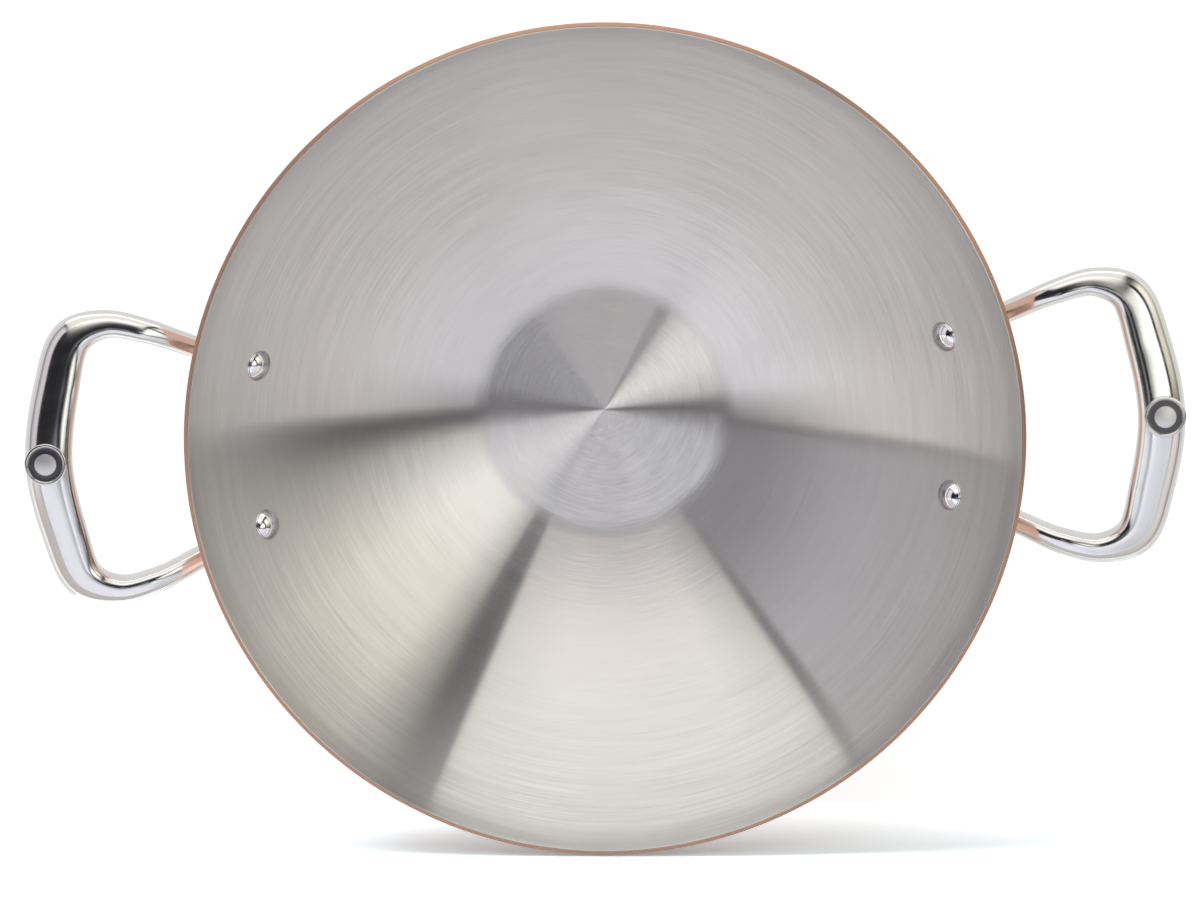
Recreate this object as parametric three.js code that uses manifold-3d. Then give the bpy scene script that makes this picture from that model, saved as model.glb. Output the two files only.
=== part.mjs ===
// A flat-based copper wok lined with stainless steel, with two cast steel loop handles on domed rivets.
// Millimetres, +Z up: the base stands on z = 0, its centre is the origin, and the handles lie along X.

import * as THREE from "three";
import { mergeVertices } from "three/addons/utils/BufferGeometryUtils.js";
import Module from "manifold-3d";

// Bowl: a flat floor, a fillet and a spherical wall, measured on the cooking surface
const rimRadius = 160; // the copper's outer edge
const wallRadius = 180.5;
const floorRadius = 45;
const floorFillet = 26;
const copperThickness = 1.8;
const liningThickness = 0.3;
const bondGap = 0.05;
const bowlSegments = 64;
const filletSteps = 3;
const wallSteps = 9;

// Rivets: a domed head in the bowl, a plain shank, and a low tail upset in the foot's counterbore
const rivetHalfSpacing = 31;
const rivetDepth = 32; // below the rim, along Z
const headRadius = 6;
const headHeight = 2.7;
const headEdge = 0.5;
const shankRadius = 3;
const tailRadius = 5;
const tailHeight = 1.5;
const headGap = 0.5; // under the head, whose flat face spans the wall's hollow curve
const seatGap = 0.35; // round the shank, under the tail and between the foot and the wall
const rivetSegments = 16;

// Handle: the loop's stations in plan and height, with half the section's width and depth at each
const footGrip = 4; // metal left between the wall and the counterbore's floor
const footHalfWidth = 10;
const footHalfDepth = 3.6;
const footSink = 1.4; // how far the lofted foot dips into the wall before it is cut to fit
const toeLength = 10.5;
const legStations = [
  { along: 149.5, across: 37.6, height: 60.8, halfWidth: 4.6, halfDepth: 4.9 },
  { along: 160, across: 42.4, height: 65.3, halfWidth: 4.3, halfDepth: 5 },
  { along: 174, across: 48.4, height: 70.2, halfWidth: 4.8, halfDepth: 5.2 },
  { along: 189, across: 51.5, height: 71, halfWidth: 5.6, halfDepth: 5.4 },
  { along: 201.8, across: 46.6, height: 72, halfWidth: 7.9, halfDepth: 5.5 },
  { along: 208.4, across: 28, height: 74, halfWidth: 8.8, halfDepth: 5.5 },
];
const gripMiddle = { along: 212.6, across: 0, height: 76.2, halfWidth: 9.1, halfDepth: 5.5 };
const sectionRoll = 0.003; // how much the legs' tops lean outward, for each millimetre across
const sectionPower = 2.8; // 2 is an ellipse, more is squarer
const sectionPoints = 16;
const loopSteps = 48;
const medallionRadius = 8;
const medallionShift = 0.8; // from the grip's middle line, outward
const medallionRise = 0.35;
const recessRadius = 7;
const recessDepth = 0.5;

// Worked out from the sizes above
const wallThickness = liningThickness + bondGap + copperThickness;
const blendSlope = Math.asin(floorRadius / (wallRadius - floorFillet));
const rimSlope = Math.asin(rimRadius / (wallRadius + wallThickness));
const sphereHeight = wallThickness + floorFillet + (wallRadius - floorFillet) * Math.cos(blendSlope);
const rimHeight = sphereHeight - wallRadius * Math.cos(rimSlope);
const rivetSlope = Math.acos((sphereHeight - rimHeight + rivetDepth) / wallRadius);
const rivetAzimuth = Math.asin(rivetHalfSpacing / (wallRadius * Math.sin(rivetSlope)));
const up = new THREE.Vector3(0, 0, 1);

const wasm = await Module();
wasm.setup();

const metal = (color, roughness) => new THREE.MeshStandardMaterial({ color, roughness, metalness: 1 });
const copper = () => metal(0xb9714a, 0.25);
const brushedSteel = () => metal(0xb4b1ad, 0.4);
const polishedSteel = () => metal(0xd6d5da, 0.1);

// A closed geometry as a solid that can be joined and cut.
function toSolid(geometry) {
  const bare = new THREE.BufferGeometry();
  bare.setAttribute("position", geometry.getAttribute("position"));
  bare.setIndex(geometry.getIndex());
  const merged = mergeVertices(bare);
  const corners = merged.getIndex().array;
  const triangles = [];
  for (let i = 0; i < corners.length; i += 3) {
    const [a, b, c] = corners.slice(i, i + 3);
    if (a !== b && b !== c && c !== a) triangles.push(a, b, c);
  }
  return new wasm.Manifold(new wasm.Mesh({
    numProp: 3,
    vertProperties: new Float32Array(merged.getAttribute("position").array),
    triVerts: new Uint32Array(triangles),
  }));
}

// A solid as a named mesh.
function toMesh(name, solid, material) {
  const { vertProperties, triVerts } = solid.getMesh();
  const geometry = new THREE.BufferGeometry();
  geometry.setAttribute("position", new THREE.BufferAttribute(vertProperties, 3));
  geometry.setIndex(new THREE.BufferAttribute(triVerts, 1));
  geometry.computeVertexNormals();
  const mesh = new THREE.Mesh(geometry, material);
  mesh.name = name;
  return mesh;
}

// A profile turned about Z, from points that start and end on the axis.
function turn(points, segments) {
  return new THREE.LatheGeometry(points, segments).rotateX(Math.PI / 2);
}

// Points of a round stretch of profile, from one slope to another, about a centre on the profile.
function arc(centre, radius, fromSlope, toSlope, steps) {
  return Array.from({ length: steps + 1 }, (_, i) => {
    const slope = THREE.MathUtils.lerp(fromSlope, toSlope, i / steps);
    return new THREE.Vector2(centre.x + radius * Math.sin(slope), centre.y - radius * Math.cos(slope));
  });
}

// Half section of the surface that lies a given distance outside the cooking surface, axis to rim.
function bowlSurface(offset) {
  const filletCentre = new THREE.Vector2(floorRadius, wallThickness + floorFillet);
  const sphereCentre = new THREE.Vector2(0, sphereHeight);
  return [
    new THREE.Vector2(0, wallThickness - offset),
    ...arc(filletCentre, floorFillet + offset, 0, blendSlope, filletSteps),
    ...arc(sphereCentre, wallRadius + offset, blendSlope, rimSlope, wallSteps).slice(1),
  ];
}

// A spun layer of the wall between two surfaces, with its edge square to the wall.
function bowlLayer(innerOffset, outerOffset) {
  const profile = [...bowlSurface(outerOffset), ...bowlSurface(innerOffset).reverse()];
  return toSolid(turn(profile, bowlSegments));
}

// Everything inside the foot's seat: the wall with its seating gap, filled up to the rim.
function seatEnvelope() {
  const outside = bowlSurface(wallThickness + seatGap);
  const top = new THREE.Vector2(0, outside.at(-1).y);
  return toSolid(turn([...outside, top], bowlSegments));
}

// Where a rivet's axis meets the cooking surface, and the way it points into the bowl.
function rivetFrame(sign) {
  const radial = new THREE.Vector3(Math.cos(rivetAzimuth), sign * Math.sin(rivetAzimuth), 0);
  const inward = radial.clone().multiplyScalar(-Math.sin(rivetSlope));
  inward.addScaledVector(up, Math.cos(rivetSlope));
  const point = up.clone().multiplyScalar(sphereHeight).addScaledVector(inward, -wallRadius);
  const turned = new THREE.Quaternion().setFromUnitVectors(up, inward);
  return { point, inward, matrix: new THREE.Matrix4().compose(point, turned, new THREE.Vector3(1, 1, 1)) };
}

// A cylinder along a rivet's axis, between two distances from the cooking surface.
function rivetBore(frame, radius, from, to) {
  const bore = new THREE.CylinderGeometry(radius, radius, to - from, rivetSegments);
  bore.rotateX(Math.PI / 2).translate(0, 0, (from + to) / 2).applyMatrix4(frame.matrix);
  return toSolid(bore);
}

// One rivet about its own axis, with the cooking surface at z = 0 and its head above.
function rivetSolid() {
  const domeRadius = (headRadius ** 2 + headHeight ** 2) / (2 * headHeight);
  const domeTop = headGap + headEdge + headHeight;
  const domeSlope = Math.asin(headRadius / domeRadius);
  const domeCentre = new THREE.Vector2(0, domeTop - domeRadius);
  const tailSeat = -(wallThickness + seatGap + footGrip + seatGap);
  const tailDomeRadius = (tailRadius ** 2 + tailHeight ** 2) / (2 * tailHeight);
  const tailSlope = Math.asin(tailRadius / tailDomeRadius);
  const tailCentre = new THREE.Vector2(0, tailSeat - tailHeight + tailDomeRadius);
  return toSolid(turn([
    ...arc(tailCentre, tailDomeRadius, 0, tailSlope, 3),
    new THREE.Vector2(shankRadius, tailSeat),
    new THREE.Vector2(shankRadius, headGap),
    new THREE.Vector2(headRadius, headGap),
    ...arc(domeCentre, domeRadius, Math.PI - domeSlope, Math.PI, 4),
  ], rivetSegments));
}

// A closed solid through rings of points, in order, with flat ends.
function loft(rings) {
  const count = rings[0].length;
  const last = (rings.length - 1) * count;
  const index = [];
  for (let ring = 0; ring < last; ring += count) {
    for (let i = 0; i < count; i += 1) {
      const a = ring + i;
      const b = ring + (i + 1) % count;
      index.push(a, b, b + count, a, b + count, a + count);
    }
  }
  for (let i = 1; i + 1 < count; i += 1) {
    index.push(0, i + 1, i);
    index.push(last, last + i, last + i + 1);
  }
  const geometry = new THREE.BufferGeometry().setFromPoints(rings.flat());
  geometry.setIndex(index);
  return toSolid(geometry);
}

// The loop's stations from one toe round to the other: each has its place and its half width and depth.
function handleStations() {
  const half = (sign) => {
    const frame = rivetFrame(sign);
    const foot = frame.point.clone();
    foot.addScaledVector(frame.inward, -(wallThickness + seatGap + footHalfDepth - footSink));
    const leg = legStations.map((station) => ({
      place: new THREE.Vector3(station.along, sign * station.across, station.height),
      size: new THREE.Vector2(station.halfWidth, station.halfDepth),
    }));
    const upWall = leg[0].place.clone().sub(foot).projectOnPlane(frame.inward).normalize();
    const footSize = new THREE.Vector2(footHalfWidth, footHalfDepth);
    const along = (distance) => foot.clone().addScaledVector(upWall, distance);
    return [
      { place: along(-toeLength), size: footSize.clone().multiply(new THREE.Vector2(0.42, 0.75)) },
      { place: along(-0.68 * toeLength), size: footSize.clone().multiply(new THREE.Vector2(0.86, 0.95)) },
      { place: foot, size: footSize },
      ...leg,
    ];
  };
  const middle = {
    place: new THREE.Vector3(gripMiddle.along, gripMiddle.across, gripMiddle.height),
    size: new THREE.Vector2(gripMiddle.halfWidth, gripMiddle.halfDepth),
  };
  return [...half(-1), middle, ...half(1).reverse()];
}

// One ring of the loop: a rounded section square to the path, lying level across the grip, leaning
// outward along the legs and turning to lie on the wall at the foot.
function handleRing(place, tangent, size, levelness) {
  const fromSphere = place.clone().sub(up.clone().multiplyScalar(sphereHeight)).negate().normalize();
  const leaning = new THREE.Vector3(0, sectionRoll * place.y, 1).normalize();
  const top = leaning.lerp(fromSphere, 1 - levelness).projectOnPlane(tangent).normalize();
  const side = top.clone().cross(tangent);
  return Array.from({ length: sectionPoints }, (_, i) => {
    const angle = (2 * Math.PI * i) / sectionPoints;
    const rounded = (value) => Math.sign(value) * Math.abs(value) ** (2 / sectionPower);
    return place.clone()
      .addScaledVector(side, size.x * rounded(Math.cos(angle)))
      .addScaledVector(top, size.y * rounded(Math.sin(angle)));
  });
}

// The cast loop of the right handle: the loft, the medallion's boss and recess, and the riveted feet.
function handleSolid() {
  const stations = handleStations();
  const path = new THREE.CatmullRomCurve3(stations.map((station) => station.place));
  const sizes = new THREE.SplineCurve(stations.map((station) => station.size));
  const rings = Array.from({ length: loopSteps + 1 }, (_, i) => {
    const t = i / loopSteps;
    const place = path.getPoint(t);
    const levelness = THREE.MathUtils.smoothstep(place.x, 138, 160);
    return handleRing(place, path.getTangent(t), sizes.getPoint(t), levelness);
  });
  const crest = gripMiddle.height + gripMiddle.halfDepth;
  const disc = (radius, bottom, top) => toSolid(
    new THREE.CylinderGeometry(radius, radius, top - bottom, 32)
      .rotateX(Math.PI / 2)
      .translate(gripMiddle.along + medallionShift, 0, (bottom + top) / 2),
  );
  let solid = loft(rings)
    .add(disc(medallionRadius, gripMiddle.height, crest + medallionRise))
    .subtract(disc(recessRadius, crest + medallionRise - recessDepth, crest + headHeight))
    .subtract(seatEnvelope());
  for (const sign of [-1, 1]) {
    const frame = rivetFrame(sign);
    const counterbore = -(wallThickness + seatGap + footGrip);
    solid = solid
      .subtract(rivetBore(frame, shankRadius + seatGap, -30, 1))
      .subtract(rivetBore(frame, tailRadius + seatGap, counterbore - 20, counterbore));
  }
  return solid;
}

const wok = new THREE.Group();
const handle = handleSolid();
const rivet = rivetSolid();
let lining = bowlLayer(0, liningThickness);
let body = bowlLayer(liningThickness + bondGap, wallThickness);

for (const [side, angle] of [["right", 0], ["left", Math.PI]]) {
  const half = new THREE.Group();
  half.rotation.z = angle;
  half.add(toMesh(`${side}_handle`, handle, polishedSteel()));
  for (const sign of [-1, 1]) {
    const frame = rivetFrame(sign);
    const turned = [0, 0, THREE.MathUtils.radToDeg(angle)];
    const bore = rivetBore(frame, shankRadius + seatGap, -10, 3).rotate(turned);
    lining = lining.subtract(bore);
    body = body.subtract(bore);
    const row = sign * Math.cos(angle) > 0 ? "rear" : "front";
    const mesh = toMesh(`${side}_${row}_rivet`, rivet, polishedSteel());
    mesh.applyMatrix4(frame.matrix);
    half.add(mesh);
  }
  wok.add(half);
}
wok.add(toMesh("copper_body", body, copper()));
wok.add(toMesh("steel_lining", lining, brushedSteel()));

export default wok;
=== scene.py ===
"""The finished look of a flat-based copper wok with a brushed steel lining and two cast loop handles."""

import math

import bpy
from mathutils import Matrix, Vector


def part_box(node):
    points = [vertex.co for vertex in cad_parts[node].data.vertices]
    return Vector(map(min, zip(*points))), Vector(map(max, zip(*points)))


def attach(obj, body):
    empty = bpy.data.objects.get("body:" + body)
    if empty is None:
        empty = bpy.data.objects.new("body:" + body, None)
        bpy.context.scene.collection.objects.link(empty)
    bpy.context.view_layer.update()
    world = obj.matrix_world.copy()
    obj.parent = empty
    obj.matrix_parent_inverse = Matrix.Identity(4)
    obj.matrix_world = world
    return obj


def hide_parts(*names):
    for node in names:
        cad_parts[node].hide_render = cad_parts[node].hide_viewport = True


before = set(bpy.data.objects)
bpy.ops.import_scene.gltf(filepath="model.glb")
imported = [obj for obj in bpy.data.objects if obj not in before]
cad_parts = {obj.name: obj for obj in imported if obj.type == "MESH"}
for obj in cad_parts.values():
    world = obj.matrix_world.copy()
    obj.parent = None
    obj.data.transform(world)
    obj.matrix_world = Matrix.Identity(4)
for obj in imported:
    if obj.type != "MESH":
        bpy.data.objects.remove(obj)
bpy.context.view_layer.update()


# Copper body
# The pan's outer shell, spun from a copper disc over a former, with a flat base and an edge cut square.
# It is polished bright on the lathe, so faint turning lines run round it, and it carries everything else.

MM = 0.001
wall_radius = 180.5 * MM
floor_radius = 45 * MM
floor_fillet = 26 * MM
copper_thickness = 1.8 * MM
lining_thickness = 0.3 * MM
bond_gap = 0.05 * MM
edge_round = 0.3 * MM
bowl_segments = 256
rim_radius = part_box("copper_body")[1].x
wall_thickness = lining_thickness + bond_gap + copper_thickness
blend_slope = math.asin(floor_radius / (wall_radius - floor_fillet))
rim_slope = math.asin(rim_radius / (wall_radius + wall_thickness))
sphere_height = wall_thickness + floor_fillet + (wall_radius - floor_fillet) * math.cos(blend_slope)
copper_light = (0.9, 0.6, 0.49, 1)
copper_deep = (0.83, 0.53, 0.42, 1)
edge_copper = (0.42, 0.26, 0.19, 1)
edge_dullness = 0.3
edge_height = sphere_height - (wall_radius + wall_thickness) * math.cos(rim_slope)


def arc(centre, radius, start, end, steps):
    """Points of a round stretch of profile, as (radius, height), between two slopes."""
    slopes = [start + (end - start) * i / steps for i in range(steps + 1)]
    return [(centre[0] + radius * math.sin(s), centre[1] - radius * math.cos(s)) for s in slopes]


def bowl_surface(offset):
    """Half section of the surface that lies offset outside the cooking surface, from axis to rim."""
    fillet_centre = (floor_radius, wall_thickness + floor_fillet)
    flat = [(floor_radius * share, wall_thickness - offset) for share in (0, 0.05, 0.3, 0.65)]
    fillet = arc(fillet_centre, floor_fillet + offset, 0, blend_slope, 12)
    wall = arc((0, sphere_height), wall_radius + offset, blend_slope, rim_slope, 72)
    return flat + fillet + wall[1:]


def round_corner(before, corner, after, radius, steps=4):
    """A profile's corner, rounded: points of a curve that leaves one side and joins the other."""
    corner = Vector(corner)
    start = corner + radius * (Vector(before) - corner).normalized()
    end = corner + radius * (Vector(after) - corner).normalized()
    points = []
    for i in range(steps + 1):
        t = i / steps
        points.append(tuple(start.lerp(corner, t).lerp(corner.lerp(end, t), t)))
    return points


def spun(profile, segments):
    """Corners and faces of a closed mesh turned about Z, from a profile with both ends on the axis."""
    rings = profile[1:-1]
    verts = [(0, 0, profile[0][1]), (0, 0, profile[-1][1])]
    for radius, height in rings:
        for i in range(segments):
            angle = 2 * math.pi * i / segments
            verts.append((radius * math.cos(angle), radius * math.sin(angle), height))
    faces = []
    for i in range(segments):
        j = (i + 1) % segments
        faces.append((0, 2 + j, 2 + i))
        last = 2 + (len(rings) - 1) * segments
        faces.append((1, last + i, last + j))
        for ring in range(len(rings) - 1):
            low = 2 + ring * segments
            high = low + segments
            faces.append((low + i, low + j, high + j, high + i))
    return verts, faces


def smooth_object(name, verts, faces):
    """A smooth shaded mesh object in the scene."""
    mesh = bpy.data.meshes.new(name)
    mesh.from_pydata(verts, [], faces)
    mesh.shade_smooth()
    made = bpy.data.objects.new(name, mesh)
    bpy.context.scene.collection.objects.link(made)
    return made


def spun_layer(name, inner_offset, outer_offset):
    """One layer of the wall, with its edge square to the wall and slightly rounded."""
    outside = bowl_surface(outer_offset)
    inside = bowl_surface(inner_offset)
    soft = min(edge_round, 0.4 * (outer_offset - inner_offset))
    edge = round_corner(outside[-2], outside[-1], inside[-1], soft)
    edge += round_corner(outside[-1], inside[-1], inside[-2], soft)
    return smooth_object(name, *spun(outside[:-1] + edge + inside[-2::-1], bowl_segments))


def add_node(tree, kind, inputs=None, **settings):
    """A new node: inputs are sockets to link from or plain values, by socket name or number."""
    made = tree.nodes.new(kind)
    for key, value in settings.items():
        setattr(made, key, value)
    for socket, value in (inputs or {}).items():
        if isinstance(value, bpy.types.NodeSocket):
            tree.links.new(value, made.inputs[socket])
        else:
            made.inputs[socket].default_value = value
    return made


def math_node(tree, operation, *values):
    """The result of a Math node on sockets or numbers."""
    return add_node(tree, "ShaderNodeMath", dict(enumerate(values)), operation=operation).outputs[0]


def vector_node(tree, operation, *values):
    """The vector result of a Vector Math node on sockets or vectors."""
    made = add_node(tree, "ShaderNodeVectorMath", dict(enumerate(values)), operation=operation)
    return made.outputs["Vector"]


def map_range(tree, value, span, result):
    """A value carried from one span to another, clamped."""
    inputs = {"Value": value, "From Min": span[0], "From Max": span[1]}
    inputs.update({"To Min": result[0], "To Max": result[1]})
    return add_node(tree, "ShaderNodeMapRange", inputs).outputs["Result"]


def mix_colour(tree, share, first, second):
    """A colour between two others."""
    mixed = add_node(tree, "ShaderNodeMix", {"Factor": share}, data_type="RGBA")
    for socket, colour in ((mixed.inputs[6], first), (mixed.inputs[7], second)):
        if isinstance(colour, bpy.types.NodeSocket):
            tree.links.new(colour, socket)
        else:
            socket.default_value = colour
    return mixed.outputs[2]


def new_group(name, inputs, outputs):
    """An empty shader group with float inputs and their defaults, and outputs by socket type."""
    tree = bpy.data.node_groups.new(name, "ShaderNodeTree")
    for key, value in inputs.items():
        tree.interface.new_socket(key, in_out="INPUT", socket_type="NodeSocketFloat").default_value = value
    for key, kind in outputs.items():
        tree.interface.new_socket(key, in_out="OUTPUT", socket_type=kind)
    return tree, tree.nodes.new("NodeGroupInput").outputs, tree.nodes.new("NodeGroupOutput").inputs


def turning_marks_group():
    """Marks of a tool or belt held against the turning pan: streaks that run round the axis.

    Streak is a mask from 0 to 1, and Normal leans in and out across the marks, never along them.
    """
    tree, given, result = new_group(
        "turning marks",
        {"Lines per metre": 4000, "Streaks round": 5, "Lean": 0.1, "Outward": 0.0},
        {"Streak": "NodeSocketFloat", "Normal": "NodeSocketVector"},
    )
    place = add_node(tree, "ShaderNodeTexCoord").outputs["Object"]
    flat = vector_node(tree, "MULTIPLY", place, (1, 1, 0))
    outward = vector_node(tree, "NORMALIZE", flat)
    radius = add_node(tree, "ShaderNodeVectorMath", {0: flat}, operation="LENGTH").outputs["Value"]
    height = add_node(tree, "ShaderNodeSeparateXYZ", {0: place}).outputs["Z"]
    wall_share = 0.55
    across = math_node(tree, "MULTIPLY_ADD", height, wall_share, radius)
    direction = add_node(tree, "ShaderNodeSeparateXYZ", {0: outward})
    turn_x = math_node(tree, "MULTIPLY", direction.outputs["X"], given["Streaks round"])
    turn_y = math_node(tree, "MULTIPLY", direction.outputs["Y"], given["Streaks round"])

    def marks(share, detail):
        """Noise drawn out round the axis, with a share of the group's lines."""
        lines = math_node(tree, "MULTIPLY", given["Lines per metre"], share)
        along = math_node(tree, "MULTIPLY", across, lines)
        vector = add_node(tree, "ShaderNodeCombineXYZ", {0: along, 1: turn_x, 2: turn_y}).outputs[0]
        return add_node(
            tree, "ShaderNodeTexNoise", {"Vector": vector, "Scale": 1.0, "Detail": detail, "Roughness": 0.6}
        ).outputs["Fac"]

    fine = marks(1.0, 2.0)
    broad = marks(0.16, 3.0)
    streak = math_node(tree, "MULTIPLY_ADD", broad, 0.6, math_node(tree, "MULTIPLY", fine, 0.4))
    tree.links.new(streak, result["Streak"])
    normal = add_node(tree, "ShaderNodeNewGeometry").outputs["Normal"]
    round_axis = vector_node(tree, "CROSS_PRODUCT", (0, 0, 1), outward)
    across_way = vector_node(tree, "CROSS_PRODUCT", round_axis, normal)
    fine_lean = math_node(tree, "MULTIPLY", fine, 1.5)
    broad_lean = math_node(tree, "MULTIPLY", broad, 0.5)
    both = math_node(tree, "ADD", fine_lean, broad_lean)
    lean = math_node(tree, "MULTIPLY", math_node(tree, "SUBTRACT", both, 1.0), given["Lean"])
    lean = math_node(tree, "ADD", lean, given["Outward"])
    leaning = add_node(tree, "ShaderNodeVectorMath", {0: across_way, "Scale": lean}, operation="SCALE")
    tilted = vector_node(tree, "ADD", normal, leaning.outputs["Vector"])
    tree.links.new(vector_node(tree, "NORMALIZE", tilted), result["Normal"])
    return tree


def new_material(name):
    """A material's node tree and its Principled shader."""
    material = bpy.data.materials.new(name)
    material.use_nodes = True
    return material, material.node_tree, material.node_tree.nodes["Principled BSDF"]


def set_values(shader, values):
    """Plain values on a shader's own sockets."""
    for socket, value in values.items():
        shader.inputs[socket].default_value = value


turning_marks = turning_marks_group()


def copper_material():
    """Bright copper with turning lines and faint clouds, duller and darker on its cut edge."""
    material, tree, shader = new_material("spun copper")
    set_values(shader, {"Metallic": 1.0, "Anisotropic": 0.6, "Anisotropic Rotation": 0.25})
    marks = add_node(tree, "ShaderNodeGroup", node_tree=turning_marks)
    set_values(marks, {"Lines per metre": 2200, "Streaks round": 2, "Lean": 0.02})
    place = add_node(tree, "ShaderNodeTexCoord").outputs["Object"]
    clouds = add_node(
        tree, "ShaderNodeTexNoise", {"Vector": place, "Scale": 16.0, "Detail": 4.0}
    ).outputs["Fac"]
    clouding = math_node(tree, "MULTIPLY", clouds, 0.5)
    tone = math_node(tree, "MULTIPLY_ADD", marks.outputs["Streak"], 0.8, clouding)
    height = add_node(tree, "ShaderNodeSeparateXYZ", {0: place}).outputs["Z"]
    cut_edge = map_range(tree, height, (edge_height - 0.2 * MM, edge_height + 0.1 * MM), (0.0, 1.0))
    wall_colour = mix_colour(tree, tone, copper_deep, copper_light)
    tree.links.new(mix_colour(tree, cut_edge, wall_colour, edge_copper), shader.inputs["Base Color"])
    polish = map_range(tree, tone, (0.3, 0.9), (0.1, 0.17))
    roughness = math_node(tree, "MULTIPLY_ADD", cut_edge, edge_dullness, polish)
    tree.links.new(roughness, shader.inputs["Roughness"])
    tree.links.new(marks.outputs["Normal"], shader.inputs["Normal"])
    tangent = add_node(tree, "ShaderNodeTangent", direction_type="RADIAL", axis="Z")
    tree.links.new(tangent.outputs["Tangent"], shader.inputs["Tangent"])
    return material


body = spun_layer("spun_copper_body", lining_thickness + bond_gap, wall_thickness)
body.data.materials.append(copper_material())
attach(body, "root")
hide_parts("copper_body")


# Steel lining
# A thin sheet of stainless steel, bonded to the copper before both were spun together.
# It is brushed with a belt while the pan turns, so its light fans out from the middle of the floor, and
# its last few millimetres are drawn in a little at the rim.

steel_light = (0.75, 0.735, 0.72, 1)
steel_deep = (0.57, 0.555, 0.54, 1)
lining_edge = wall_radius * math.sin(rim_slope)
brush_lean = 0.06
lip_width = 6 * MM
lip_lean = 0.14
stray_share = 0.3


def lining_material():
    """Steel with scratches that run round the pan, which spread light across them and hardly along them."""
    material, tree, stray = new_material("brushed lining steel")
    set_values(stray, {"Metallic": 1.0, "Anisotropic": 1.0, "Anisotropic Rotation": 0.25})
    place = add_node(tree, "ShaderNodeTexCoord").outputs["Object"]
    flat = vector_node(tree, "MULTIPLY", place, (1, 1, 0))
    radius = add_node(tree, "ShaderNodeVectorMath", {0: flat}, operation="LENGTH").outputs["Value"]
    lip = map_range(tree, radius, (lining_edge - lip_width, lining_edge), (brush_lean, -lip_lean))
    marks = add_node(tree, "ShaderNodeGroup", {"Outward": lip}, node_tree=turning_marks)
    set_values(marks, {"Lines per metre": 1500, "Streaks round": 3, "Lean": 0.15})
    tone = mix_colour(tree, marks.outputs["Streak"], steel_deep, steel_light)
    rough = map_range(tree, marks.outputs["Streak"], (0.3, 0.7), (0.33, 0.37))
    tangent = add_node(tree, "ShaderNodeTangent", direction_type="RADIAL", axis="Z").outputs["Tangent"]
    brushed = add_node(tree, "ShaderNodeBsdfAnisotropic")
    set_values(brushed, {"Roughness": 0.18, "Anisotropy": -0.85, "Rotation": 0.25})
    tree.links.new(rough, stray.inputs["Roughness"])
    for shader, colour in ((stray, "Base Color"), (brushed, "Color")):
        tree.links.new(tone, shader.inputs[colour])
        tree.links.new(marks.outputs["Normal"], shader.inputs["Normal"])
        tree.links.new(tangent, shader.inputs["Tangent"])
    shares = {0: stray_share, 1: brushed.outputs[0], 2: stray.outputs[0]}
    both = add_node(tree, "ShaderNodeMixShader", shares)
    tree.links.new(both.outputs[0], tree.nodes["Material Output"].inputs["Surface"])
    return material


lining = spun_layer("brushed_steel_lining", 0, lining_thickness)
lining.data.materials.append(lining_material())
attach(lining, "root")
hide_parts("steel_lining")


# Handles
# Two loops cast in stainless steel and mirror polished, each with a swelling, arched grip, a round
# medallion on its crest, two tapering legs and two feet that lie on the copper under the rim.

foot_half_width = 10 * MM
foot_half_depth = 3.6 * MM
foot_sink = 1.4 * MM
toe_length = 10.5 * MM
toe_tip_shares = (0.42, 0.75)
toe_swell_at = 0.68
toe_swell_shares = (0.86, 0.95)
foot_seat = 0.08 * MM
foot_end = 138 * MM
leg_start = 160 * MM
seat_gap = 0.35 * MM
section_roll = 4.0
inner_power = 3.0
outer_power = 2.2
section_points = 64
steps_per_span = 24
handle_steel_colour = (0.57, 0.565, 0.55, 1)
# Painted shade: the ring in the medallion's recess is coloured near black, though it is the same steel.
painted_recess_shade = (0.09, 0.088, 0.095, 1)
recess_dullness = 0.2
dome_dullness = 0.28
medallion_radius = 8 * MM
medallion_root = 4 * MM
medallion_shift = 0.8 * MM
medallion_rise = 0.8 * MM
recess_radius = 7 * MM
recess_depth = 0.5 * MM
dome_radius = 4.2 * MM
dome_rise = 0.5 * MM
rivet_half_spacing = 31 * MM
rivet_depth = 32 * MM
foot_grip = 4 * MM
counterbore_radius = 5.35 * MM
counterbore_fade = (-0.2 * MM, 0.4 * MM)
rim_height = sphere_height - wall_radius * math.cos(rim_slope)
rivet_slope = math.acos((sphere_height - rim_height + rivet_depth) / wall_radius)
rivet_azimuth = math.asin(rivet_half_spacing / (wall_radius * math.sin(rivet_slope)))
sphere_centre = Vector((0, 0, sphere_height))
up = Vector((0, 0, 1))

# Each station along the leg and grip: along X, across Y, height, half width and half depth, in millimetres
leg_stations = [
    (149.5, 37.6, 60.8, 4.6, 4.9),
    (160, 42.4, 65.3, 4.3, 5),
    (174, 48.4, 70.2, 4.8, 5.2),
    (189, 51.5, 71, 5.6, 5.4),
    (201.8, 46.6, 72, 7.9, 5.5),
    (208.4, 28, 74, 8.8, 5.5),
]
grip_middle = (212.6, 0, 76.2, 9.1, 5.5)
medallion_centre = grip_middle[0] * MM + medallion_shift
medallion_top = (grip_middle[2] + grip_middle[4]) * MM + medallion_rise


def rivet_frame(side):
    """Where a right-hand rivet's axis meets the cooking surface, and the way it points into the bowl."""
    radial = Vector((math.cos(rivet_azimuth), side * math.sin(rivet_azimuth), 0))
    inward = up * math.cos(rivet_slope) - radial * math.sin(rivet_slope)
    return sphere_centre - inward * wall_radius, inward


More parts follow.
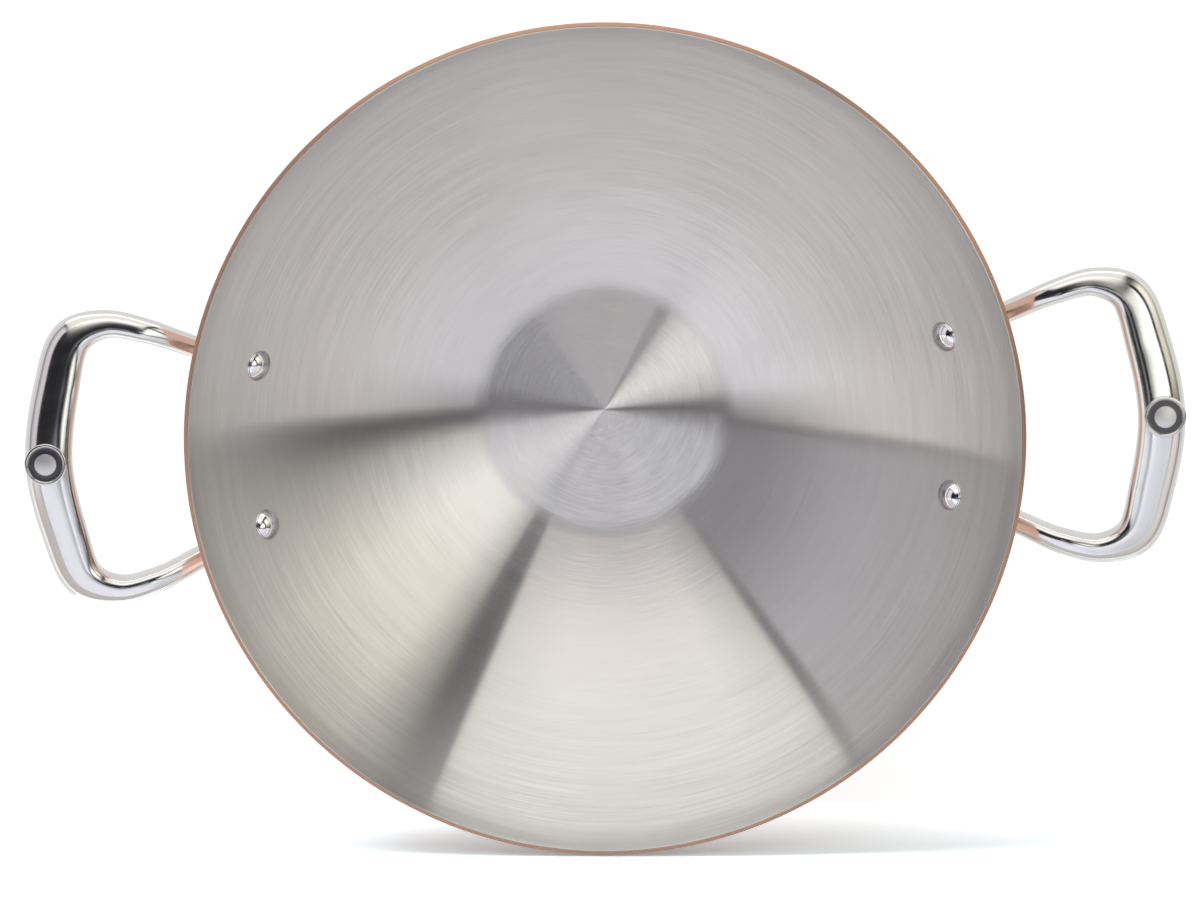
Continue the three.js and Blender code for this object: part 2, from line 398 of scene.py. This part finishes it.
def handle_half(side):
    """Stations from one toe up to the grip's last station before its middle: places and half sizes."""
    point, inward = rivet_frame(side)
    foot = point - inward * (wall_thickness + seat_gap + foot_half_depth - foot_sink)
    leg = [(Vector((x, side * y, z)) * MM, Vector((w, d)) * MM) for x, y, z, w, d in leg_stations]
    up_wall = leg[0][0] - foot
    up_wall = (up_wall - inward * up_wall.dot(inward)).normalized()
    foot_size = (foot_half_width, foot_half_depth)
    toe_tip, toe_swell = (
        Vector([share * size for share, size in zip(shares, foot_size)])
        for shares in (toe_tip_shares, toe_swell_shares)
    )
    return [
        (foot - up_wall * toe_length, toe_tip),
        (foot - up_wall * toe_swell_at * toe_length, toe_swell),
        (foot, Vector(foot_size)),
        *leg,
    ]


def spline(points, t, even):
    """A point on a smooth curve through points, at t counted in points, and the curve's direction there.

    With even the points are taken as evenly spaced, and otherwise by the square root of their distances.
    """
    span = min(int(t), len(points) - 2)
    share = t - span
    p1, p2 = points[span], points[span + 1]
    p0 = points[span - 1] if span > 0 else (p1 if even else 2 * p1 - p2)
    p3 = points[span + 2] if span + 2 < len(points) else (p2 if even else 2 * p2 - p1)
    if even:
        leave, arrive = (p2 - p0) / 2, (p3 - p1) / 2
    else:
        d0, d1, d2 = (math.sqrt((b - a).length) for a, b in ((p0, p1), (p1, p2), (p2, p3)))
        leave = ((p1 - p0) / d0 - (p2 - p0) / (d0 + d1) + (p2 - p1) / d1) * d1
        arrive = ((p2 - p1) / d1 - (p3 - p1) / (d1 + d2) + (p3 - p2) / d2) * d1
    bend = 3 * (p2 - p1) - 2 * leave - arrive
    twist = 2 * (p1 - p2) + leave + arrive
    place = p1 + share * (leave + share * (bend + share * twist))
    way = leave + share * (2 * bend + 3 * share * twist)
    return place, way.normalized()


def smoothstep(value, low, high):
    """A smooth rise from 0 at low to 1 at high."""
    share = max(0.0, min(1.0, (value - low) / (high - low)))
    return share * share * (3 - 2 * share)


def dressed(point):
    """A point of the right handle's loft, fitted to the wall and the rivets' counterbores."""
    from_centre = point - sphere_centre
    seat = wall_radius + wall_thickness + foot_seat
    if from_centre.length < seat:
        point = sphere_centre + from_centre.normalized() * seat
    for side in (-1, 1):
        base, inward = rivet_frame(side)
        depth = -(point - base).dot(inward)
        floor = wall_thickness + foot_grip
        off_axis = (point - base + inward * depth).length
        inside, outside = (counterbore_radius + shift for shift in counterbore_fade)
        if depth > floor and off_axis < outside:
            wall = smoothstep(off_axis, inside, outside)
            point = point + inward * (depth - floor) * (1 - wall)
    return point


def medallion_profile():
    """Half section of the medallion: a boss with a soft edge, a shallow recess and a low dome in it."""
    bottom = medallion_top - medallion_rise - medallion_root
    floor = medallion_top - recess_depth
    outline = [
        ((medallion_radius, bottom), 0),
        ((medallion_radius, medallion_top), 0.45 * MM),
        ((recess_radius, medallion_top), 0.2 * MM),
        ((recess_radius - 0.3 * MM, floor), 0.2 * MM),
        ((dome_radius, floor), 0.2 * MM),
    ]
    curve = (dome_radius**2 + dome_rise**2) / (2 * dome_rise)
    slope = math.asin(dome_radius / curve)
    dome = arc((0, floor + dome_rise - curve), curve, math.pi - slope, math.pi, 12)
    points = [(0, bottom), (medallion_radius, bottom)]
    for (before, _), (corner, soft), (after, _) in zip(outline, outline[1:], outline[2:]):
        points += round_corner(before, corner, after, soft)
    return points + dome


def handle_mesh(name, turn):
    """The whole loop, lofted from toe to toe, with its medallion, for the right or turned half round."""
    first = handle_half(-1)
    middle = (Vector(grip_middle[:3]) * MM, Vector(grip_middle[3:]) * MM)
    stations = first + [middle] + handle_half(1)[::-1]
    places = [place for place, size in stations]
    sizes = [size for place, size in stations]
    count = (len(stations) - 1) * steps_per_span
    verts = []
    for step in range(count + 1):
        t = step / steps_per_span
        place, way = spline(places, t, even=False)
        size = spline(sizes, t, even=True)[0]
        level = smoothstep(place.x, foot_end, leg_start)
        top = Vector((0, section_roll * place.y, 1)).normalized()
        top = top.lerp((sphere_centre - place).normalized(), 1 - level)
        top = (top - way * top.dot(way)).normalized()
        side = top.cross(way)
        for i in range(section_points):
            angle = 2 * math.pi * i / section_points
            c, s = math.cos(angle), math.sin(angle)
            power = inner_power if c > 0 else outer_power
            wide = math.copysign(abs(c) ** (2 / power), c) * size.x
            deep = math.copysign(abs(s) ** (2 / power), s) * size.y
            point = dressed(place + side * wide + top * deep)
            verts.append((turn * point.x, turn * point.y, point.z))
    faces = []
    for step in range(count):
        for i in range(section_points):
            a = step * section_points + i
            b = step * section_points + (i + 1) % section_points
            faces.append((a, b, b + section_points, a + section_points))
    faces.append(tuple(reversed(range(section_points))))
    faces.append(tuple(range(count * section_points, (count + 1) * section_points)))
    disc_verts, disc_faces = spun(medallion_profile(), 96)
    faces += [tuple(len(verts) + corner for corner in face) for face in disc_faces]
    verts += [(turn * (x + medallion_centre), turn * y, z) for x, y, z in disc_verts]
    return smooth_object(name, verts, faces)


def polish_group():
    """What hand polishing leaves: Waves is a mask of broad soft waves, Haze one of faint rubbed patches."""
    tree, given, result = new_group(
        "hand polish",
        {"Waves per metre": 60, "Patches per metre": 220},
        {"Waves": "NodeSocketFloat", "Haze": "NodeSocketFloat"},
    )
    place = add_node(tree, "ShaderNodeTexCoord").outputs["Object"]
    waves = add_node(
        tree, "ShaderNodeTexNoise", {"Vector": place, "Scale": given["Waves per metre"], "Detail": 1.0}
    )
    patches = add_node(
        tree, "ShaderNodeTexNoise", {"Vector": place, "Scale": given["Patches per metre"], "Detail": 5.0}
    )
    tree.links.new(waves.outputs["Fac"], result["Waves"])
    tree.links.new(patches.outputs["Fac"], result["Haze"])
    return tree


hand_polish = polish_group()


def handle_material():
    """Mirror polished steel, with painted shade that makes the ring in the medallion's recess near black,
    and satin on the dome in it.
    """
    material, tree, shader = new_material("polished cast steel")
    shader.inputs["Metallic"].default_value = 1.0
    polish = add_node(tree, "ShaderNodeGroup", node_tree=hand_polish)
    gloss = map_range(tree, polish.outputs["Haze"], (0.3, 0.7), (0.11, 0.16))
    place = add_node(tree, "ShaderNodeTexCoord").outputs["Object"]
    disc_centre = (medallion_centre, 0, medallion_top - recess_depth)
    from_disc = vector_node(tree, "SUBTRACT", vector_node(tree, "ABSOLUTE", place), disc_centre)
    off_centre = add_node(tree, "ShaderNodeVectorMath", {0: from_disc}, operation="LENGTH").outputs["Value"]
    in_dome = map_range(tree, off_centre, (dome_radius - 0.2 * MM, dome_radius + 0.1 * MM), (1, 0))
    in_recess = map_range(tree, off_centre, (recess_radius - 0.5 * MM, recess_radius - 0.3 * MM), (1, 0))
    # The ring between the dome and the recess's wall, which carries the painted shade and is duller.
    painted_shade_ring = math_node(tree, "SUBTRACT", in_recess, in_dome)
    tree.links.new(mix_colour(tree, painted_shade_ring, handle_steel_colour, painted_recess_shade), shader.inputs["Base Color"])
    dome_gloss = math_node(tree, "MULTIPLY_ADD", in_dome, dome_dullness, gloss)
    roughness = math_node(tree, "MULTIPLY_ADD", painted_shade_ring, recess_dullness, dome_gloss)
    tree.links.new(roughness, shader.inputs["Roughness"])
    bump = add_node(
        tree,
        "ShaderNodeBump",
        {"Height": polish.outputs["Waves"], "Strength": 0.35, "Distance": 0.2 * MM},
    )
    tree.links.new(bump.outputs["Normal"], shader.inputs["Normal"])
    return material


handle_steel = handle_material()
for name, turn in (("right", 1), ("left", -1)):
    handle = handle_mesh(f"{name}_cast_handle", turn)
    handle.data.materials.append(handle_steel)
    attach(handle, "root")
    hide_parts(f"{name}_handle")


# Rivets
# Solid stainless steel pins with polished domed heads in the bowl. Each passes through the lining, the
# copper and one foot, and its tail is upset into the foot's counterbore.

head_radius = 6 * MM
head_height = 2.7 * MM
head_edge = 0.5 * MM
head_soft = 0.4 * MM
shank_radius = 3 * MM
tail_radius = 5 * MM
tail_height = 1.5 * MM
rivet_segments = 64
rivet_steel_colour = (0.66, 0.655, 0.67, 1)


def rivet_profile():
    """Half section of a rivet from its tail to the top of its head. The cooking surface is at height 0."""
    head_dome = (head_radius**2 + head_height**2) / (2 * head_height)
    head_slope = math.asin(head_radius / head_dome)
    head_centre = (0, head_edge + head_height - head_dome)
    tail_seat = -(wall_thickness + foot_grip)
    tail_dome = (tail_radius**2 + tail_height**2) / (2 * tail_height)
    tail_slope = math.asin(tail_radius / tail_dome)
    tail_centre = (0, tail_seat - tail_height + tail_dome)
    on_dome = (0.9 * head_radius, head_edge + 0.3 * MM)
    edge = round_corner((head_radius, 0), (head_radius, head_edge), on_dome, head_soft)
    return [
        *arc(tail_centre, tail_dome, 0, tail_slope, 10),
        (shank_radius, tail_seat),
        (shank_radius, 0),
        (head_radius, 0),
        *edge,
        *arc(head_centre, head_dome, math.pi - 0.96 * head_slope, math.pi, 16),
    ]


def rivet_material():
    """Bright polished steel with faint waves and rubbed patches."""
    material, tree, shader = new_material("polished rivet steel")
    set_values(shader, {"Metallic": 1.0, "Base Color": rivet_steel_colour})
    polish = add_node(tree, "ShaderNodeGroup", node_tree=hand_polish)
    set_values(polish, {"Waves per metre": 150, "Patches per metre": 500})
    gloss = map_range(tree, polish.outputs["Haze"], (0.3, 0.7), (0.08, 0.14))
    tree.links.new(gloss, shader.inputs["Roughness"])
    bump = add_node(
        tree, "ShaderNodeBump", {"Height": polish.outputs["Waves"], "Strength": 0.3, "Distance": 0.1 * MM}
    )
    tree.links.new(bump.outputs["Normal"], shader.inputs["Normal"])
    return material


rivet_steel = rivet_material()
for name, turn in (("right", 1), ("left", -1)):
    for side in (-1, 1):
        point, inward = rivet_frame(side)
        row = "rear" if side * turn > 0 else "front"
        rivet = smooth_object(f"{name}_{row}_domed_rivet", *spun(rivet_profile(), rivet_segments))
        axis = Vector((turn * inward.x, turn * inward.y, inward.z))
        placing = up.rotation_difference(axis).to_matrix().to_4x4()
        placing.translation = (turn * point.x, turn * point.y, point.z)
        rivet.data.transform(placing)
        rivet.data.materials.append(rivet_steel)
        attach(rivet, "root")
        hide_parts(f"{name}_{row}_rivet")


# Studio
# A pale floor that curves up far away, and glowing cards of thin cloth that stand round the pan and hang
# over it, out of the camera's sight. The dark gaps between the cards draw the fan of wedges in the brushed
# lining. A low ledge at the rim, with a lamp of its own, takes the soft shadow below the pan. Its glow
# fades towards the rim, painted shade that darkens that shadow along the rim.

floor_flat_radius = 2.4
floor_curve = 1.6
floor_segments = 96
floor_drop = 0.4 * MM
floor_white = (0.45, 0.45, 0.45)
floor_glow = (0.78, 0.78)
ledge_half_length = 0.26
ledge_turn = math.radians(-2.6)
ledge_gap = 0.6 * MM
ledge_white = (0.82, 0.92, 0.97)
# Glow at the floor and at rim height: the drop towards the rim is painted shade along the contact shadow.
ledge_glow_and_painted_shade = (0.97, 0.17)
card_radius = 1.25
roof_height = 1.4
roof_centre = -0.21
card_step = 3
ivory_white = (1.0, 1.0, 0.95)
warm_white = (1.05, 1.0, 0.98)
pink_white = (1.05, 1.0, 1.07)
cream_white = (1.05, 1.0, 0.85)
blue_white = (0.98, 1.0, 1.1)


def white_material(name, colour, glow_and_shade_levels):
    """A matt white surface seen from its front only, with a glow that lamps and shadows do not feel.

    The two glow levels are those at the floor and at the height of the pan's rim. Where the second is
    lower, as on the ledge, the fading glow is painted shade.
    """
    material, tree, shader = new_material(name)
    set_values(shader, {"Base Color": (*colour, 1), "Roughness": 0.9, "Specular IOR Level": 0.0})
    set_values(shader, {"Emission Color": (1, 1, 1, 1)})
    path = add_node(tree, "ShaderNodeLightPath").outputs
    seen = math_node(tree, "MAXIMUM", path["Is Camera Ray"], path["Is Glossy Ray"])
    seen = math_node(tree, "MAXIMUM", seen, path["Is Transmission Ray"])
    direct = math_node(tree, "LESS_THAN", path["Diffuse Depth"], 0.5)
    place = add_node(tree, "ShaderNodeTexCoord").outputs["Object"]
    height = add_node(tree, "ShaderNodeSeparateXYZ", {0: place}).outputs["Z"]
    # Where the two levels differ, the glow fades with height: painted shade.
    level = map_range(tree, height, (0, rim_height), glow_and_shade_levels)
    glow = math_node(tree, "MULTIPLY", math_node(tree, "MULTIPLY", seen, direct), level)
    tree.links.new(glow, shader.inputs["Emission Strength"])
    behind = add_node(tree, "ShaderNodeNewGeometry").outputs["Backfacing"]
    clear = add_node(tree, "ShaderNodeBsdfTransparent").outputs[0]
    mixed = add_node(tree, "ShaderNodeMixShader", {0: behind, 1: shader.outputs[0], 2: clear})
    tree.links.new(mixed.outputs[0], tree.nodes["Material Output"].inputs["Surface"])
    return material


def floor_mesh():
    """A round floor that is flat under the pan and curves up at its edge."""
    profile = [(0, 0), (0.4, 0), (1.2, 0), (floor_flat_radius, 0)]
    for slope in (0.2, 0.4, 0.6, 0.8, 1.0, 1.2):
        radius = floor_flat_radius + floor_curve * math.sin(slope)
        profile.append((radius, floor_curve * (1 - math.cos(slope))))
    verts = [(0, 0, 0)]
    faces = []
    for radius, height in profile[1:]:
        for i in range(floor_segments):
            angle = 2 * math.pi * i / floor_segments
            verts.append((radius * math.cos(angle), radius * math.sin(angle), height))
    for i in range(floor_segments):
        j = (i + 1) % floor_segments
        faces.append((0, 1 + i, 1 + j))
        for ring in range(len(profile) - 2):
            low = 1 + ring * floor_segments
            high = low + floor_segments
            faces.append((low + i, high + i, high + j, low + j))
    return smooth_object("floor", verts, faces)


floor = floor_mesh()
floor.location.z = -floor_drop
floor.data.materials.append(white_material("pale floor", floor_white, floor_glow))

ledge_touch = Vector((math.sin(ledge_turn), -math.cos(ledge_turn), 0)) * (rim_radius + ledge_gap)
ledge_way = Vector((math.cos(ledge_turn), math.sin(ledge_turn), 0)) * ledge_half_length
ledge_ends = ((1, 0), (-1, 0), (-1, rim_height), (1, rim_height))
ledge_corners = [ledge_touch + share * ledge_way + up * height for share, height in ledge_ends]
ledge = smooth_object("low_white_ledge", ledge_corners, [(0, 1, 2, 3)])
ledge.data.materials.append(white_material("pale ledge", ledge_white, ledge_glow_and_painted_shade))
ledge.visible_shadow = False


def card_material():
    """Thin cloth that glows by its mesh's own levels and lets light through."""
    material = bpy.data.materials.new("card glow")
    material.use_nodes = True
    tree = material.node_tree
    tree.nodes.clear()
    level = add_node(tree, "ShaderNodeAttribute", attribute_name="glow").outputs["Color"]
    glow = add_node(tree, "ShaderNodeEmission", {"Color": level})
    clear = add_node(tree, "ShaderNodeBsdfTransparent").outputs[0]
    scrim = add_node(tree, "ShaderNodeAddShader", {0: glow.outputs[0], 1: clear})
    add_node(tree, "ShaderNodeOutputMaterial", {"Surface": scrim.outputs[0]})
    return material


card_glow = card_material()


def card(name, colour, bands, columns):
    """A glowing card that the camera does not see, which runs round the pan or hangs over it.

    A band is a stretch of rings, each a radius, a height and its centre's Y, that share one level.
    A column is an azimuth in degrees and the card's level there on every band.
    """
    places = []
    for (azimuth, *levels), (next_azimuth, *next_levels) in zip(columns, columns[1:]):
        count = math.ceil((next_azimuth - azimuth) / card_step)
        for i in range(count):
            share = i / count
            blend = [a + (b - a) * share for a, b in zip(levels, next_levels)]
            places.append((azimuth + (next_azimuth - azimuth) * share, *blend))
    places.append(columns[-1])
    rows = sum(len(band) for band in bands)
    verts, faces, glow = [], [], []
    for azimuth, *levels in places:
        angle = math.radians(azimuth)
        for band, level in zip(bands, levels):
            for radius, height, centre in band:
                verts.append((radius * math.cos(angle), centre + radius * math.sin(angle), height))
                glow.append([level * share for share in colour] + [1])
    for column in range(len(places) - 1):
        for row in range(rows - 1):
            a = column * rows + row
            faces.append((a, a + 1, a + rows + 1, a + rows))
    made = smooth_object(name, verts, faces)
    levels = made.data.attributes.new("glow", "FLOAT_COLOR", "POINT")
    for i, level in enumerate(glow):
        levels.data[i].color = level
    made.data.materials.append(card_glow)
    made.visible_camera = False


low_and_high = ((0.02, 0.3), (0.8, roof_height))
wall_bands = [[(card_radius, height, 0) for height in heights] for heights in low_and_high]


def roof_bands(*bands):
    """Bands of a card that hangs flat over the pan, from the radii of their rings."""
    return [[(radius, roof_height, roof_centre) for radius in band] for band in bands]


card("back_softbox", ivory_white, wall_bands, [(57.5, 1.35, 1.35), (130.5, 1.35, 1.35)])
card("back_left_card", pink_white, wall_bands, [(133.5, 0.2, 1.1), (183.5, 0.2, 0.9)])
card(
    "front_card",
    warm_white,
    wall_bands,
    [(185, 0.6, 1.6), (210, 0.7, 0.8), (280, 0.7, 0.8), (346, 0.1, 1.2)],
)
card("right_card", cream_white, wall_bands, [(350, 0, 0), (380, 0.35, 1.5), (398, 0.5, 1.6), (411, 0, 0)])
card(
    "back_roof_card",
    warm_white,
    roof_bands((0.5, 0.62), (0.85,), (1.15, 1.5)),
    [(61, 0.7, 1.0, 1.0), (78, 0.1, 1.4, 1.9), (112, 0, 1.0, 1.9), (128, 0, 0.2, 0.4)],
)
card("middle_roof_card", blue_white, roof_bands((0.15, 0.22), (0.36,)), [(120, 0.5, 0), (168, 0.3, 0)])
card(
    "right_roof_card",
    ivory_white,
    roof_bands((0.22,), (0.4, 0.6, 0.8), (1.0,)),
    [(-1, 0, 0, 0), (6, 0.8, 1.4, 1.5), (24, 1.1, 2.2, 2.3), (42, 0.5, 2.0, 2.4), (53.5, 0.2, 1.0, 1.7)],
)
card("inner_roof_card", ivory_white, roof_bands((0.22,), (0.4,)), [(55, 1.6, 0), (64, 1.8, 0)])
card(
    "front_roof_card",
    blue_white,
    roof_bands((0.08, 0.2), (0.4,), (0.75, 1.1)),
    [
        (178, 0, 0, 0),
        (184, 0, 0.2, 1.0),
        (190, 0.3, 1.1, 1.6),
        (210, 0.9, 1.4, 1.3),
        (270, 0.5, 1.3, 1.4),
        (300, 1.8, 1.3, 0.9),
        (340, 1.3, 1.1, 1.2),
        (353, 0, 0, 0.7),
    ],
)

ledge_only = bpy.data.collections.new("ledge only")
ledge_only.objects.link(ledge)
ledge_lamp_data = bpy.data.lights.new("ledge_lamp", "AREA")
ledge_lamp_data.shape = "RECTANGLE"
ledge_lamp_data.size = 0.7
ledge_lamp_data.size_y = 0.28
ledge_lamp_data.energy = 7
ledge_lamp = bpy.data.objects.new("ledge_lamp", ledge_lamp_data)
ledge_lamp.location = (-0.2, 0.5, 0.15)
aim = ledge_touch + 0.5 * rim_height * up - ledge_lamp.location
ledge_lamp.rotation_euler = aim.to_track_quat("-Z", "Y").to_euler()
ledge_lamp.light_linking.receiver_collection = ledge_only
ledge_lamp.visible_glossy = False
bpy.context.scene.collection.objects.link(ledge_lamp)

world = bpy.data.worlds.new("studio air")
bpy.context.scene.world = world
world.use_nodes = True
world.node_tree.nodes["Background"].inputs["Color"].default_value = (0.9, 0.9, 1.0, 1)
world.node_tree.nodes["Background"].inputs["Strength"].default_value = 0.03


# Camera
# It looks almost straight down into the pan from a little behind it, through a long lens.
# It is turned a little, so the line of the handles rises to the right.

camera_data = bpy.data.cameras.new("camera")
camera_data.lens = 150
camera_data.shift_y = -0.07
camera_data.clip_start = 0.05
camera_data.clip_end = 50
camera = bpy.data.objects.new("camera", camera_data)
camera.location = (0.0075, 0.3001, 1.9617)
camera.rotation_mode = "ZXY"
camera.rotation_euler = (math.radians(-8.21), math.radians(0.25), math.radians(-2.48))
bpy.context.scene.collection.objects.link(camera)
bpy.context.scene.camera = camera
bpy.context.scene.view_settings.view_transform = "Standard"
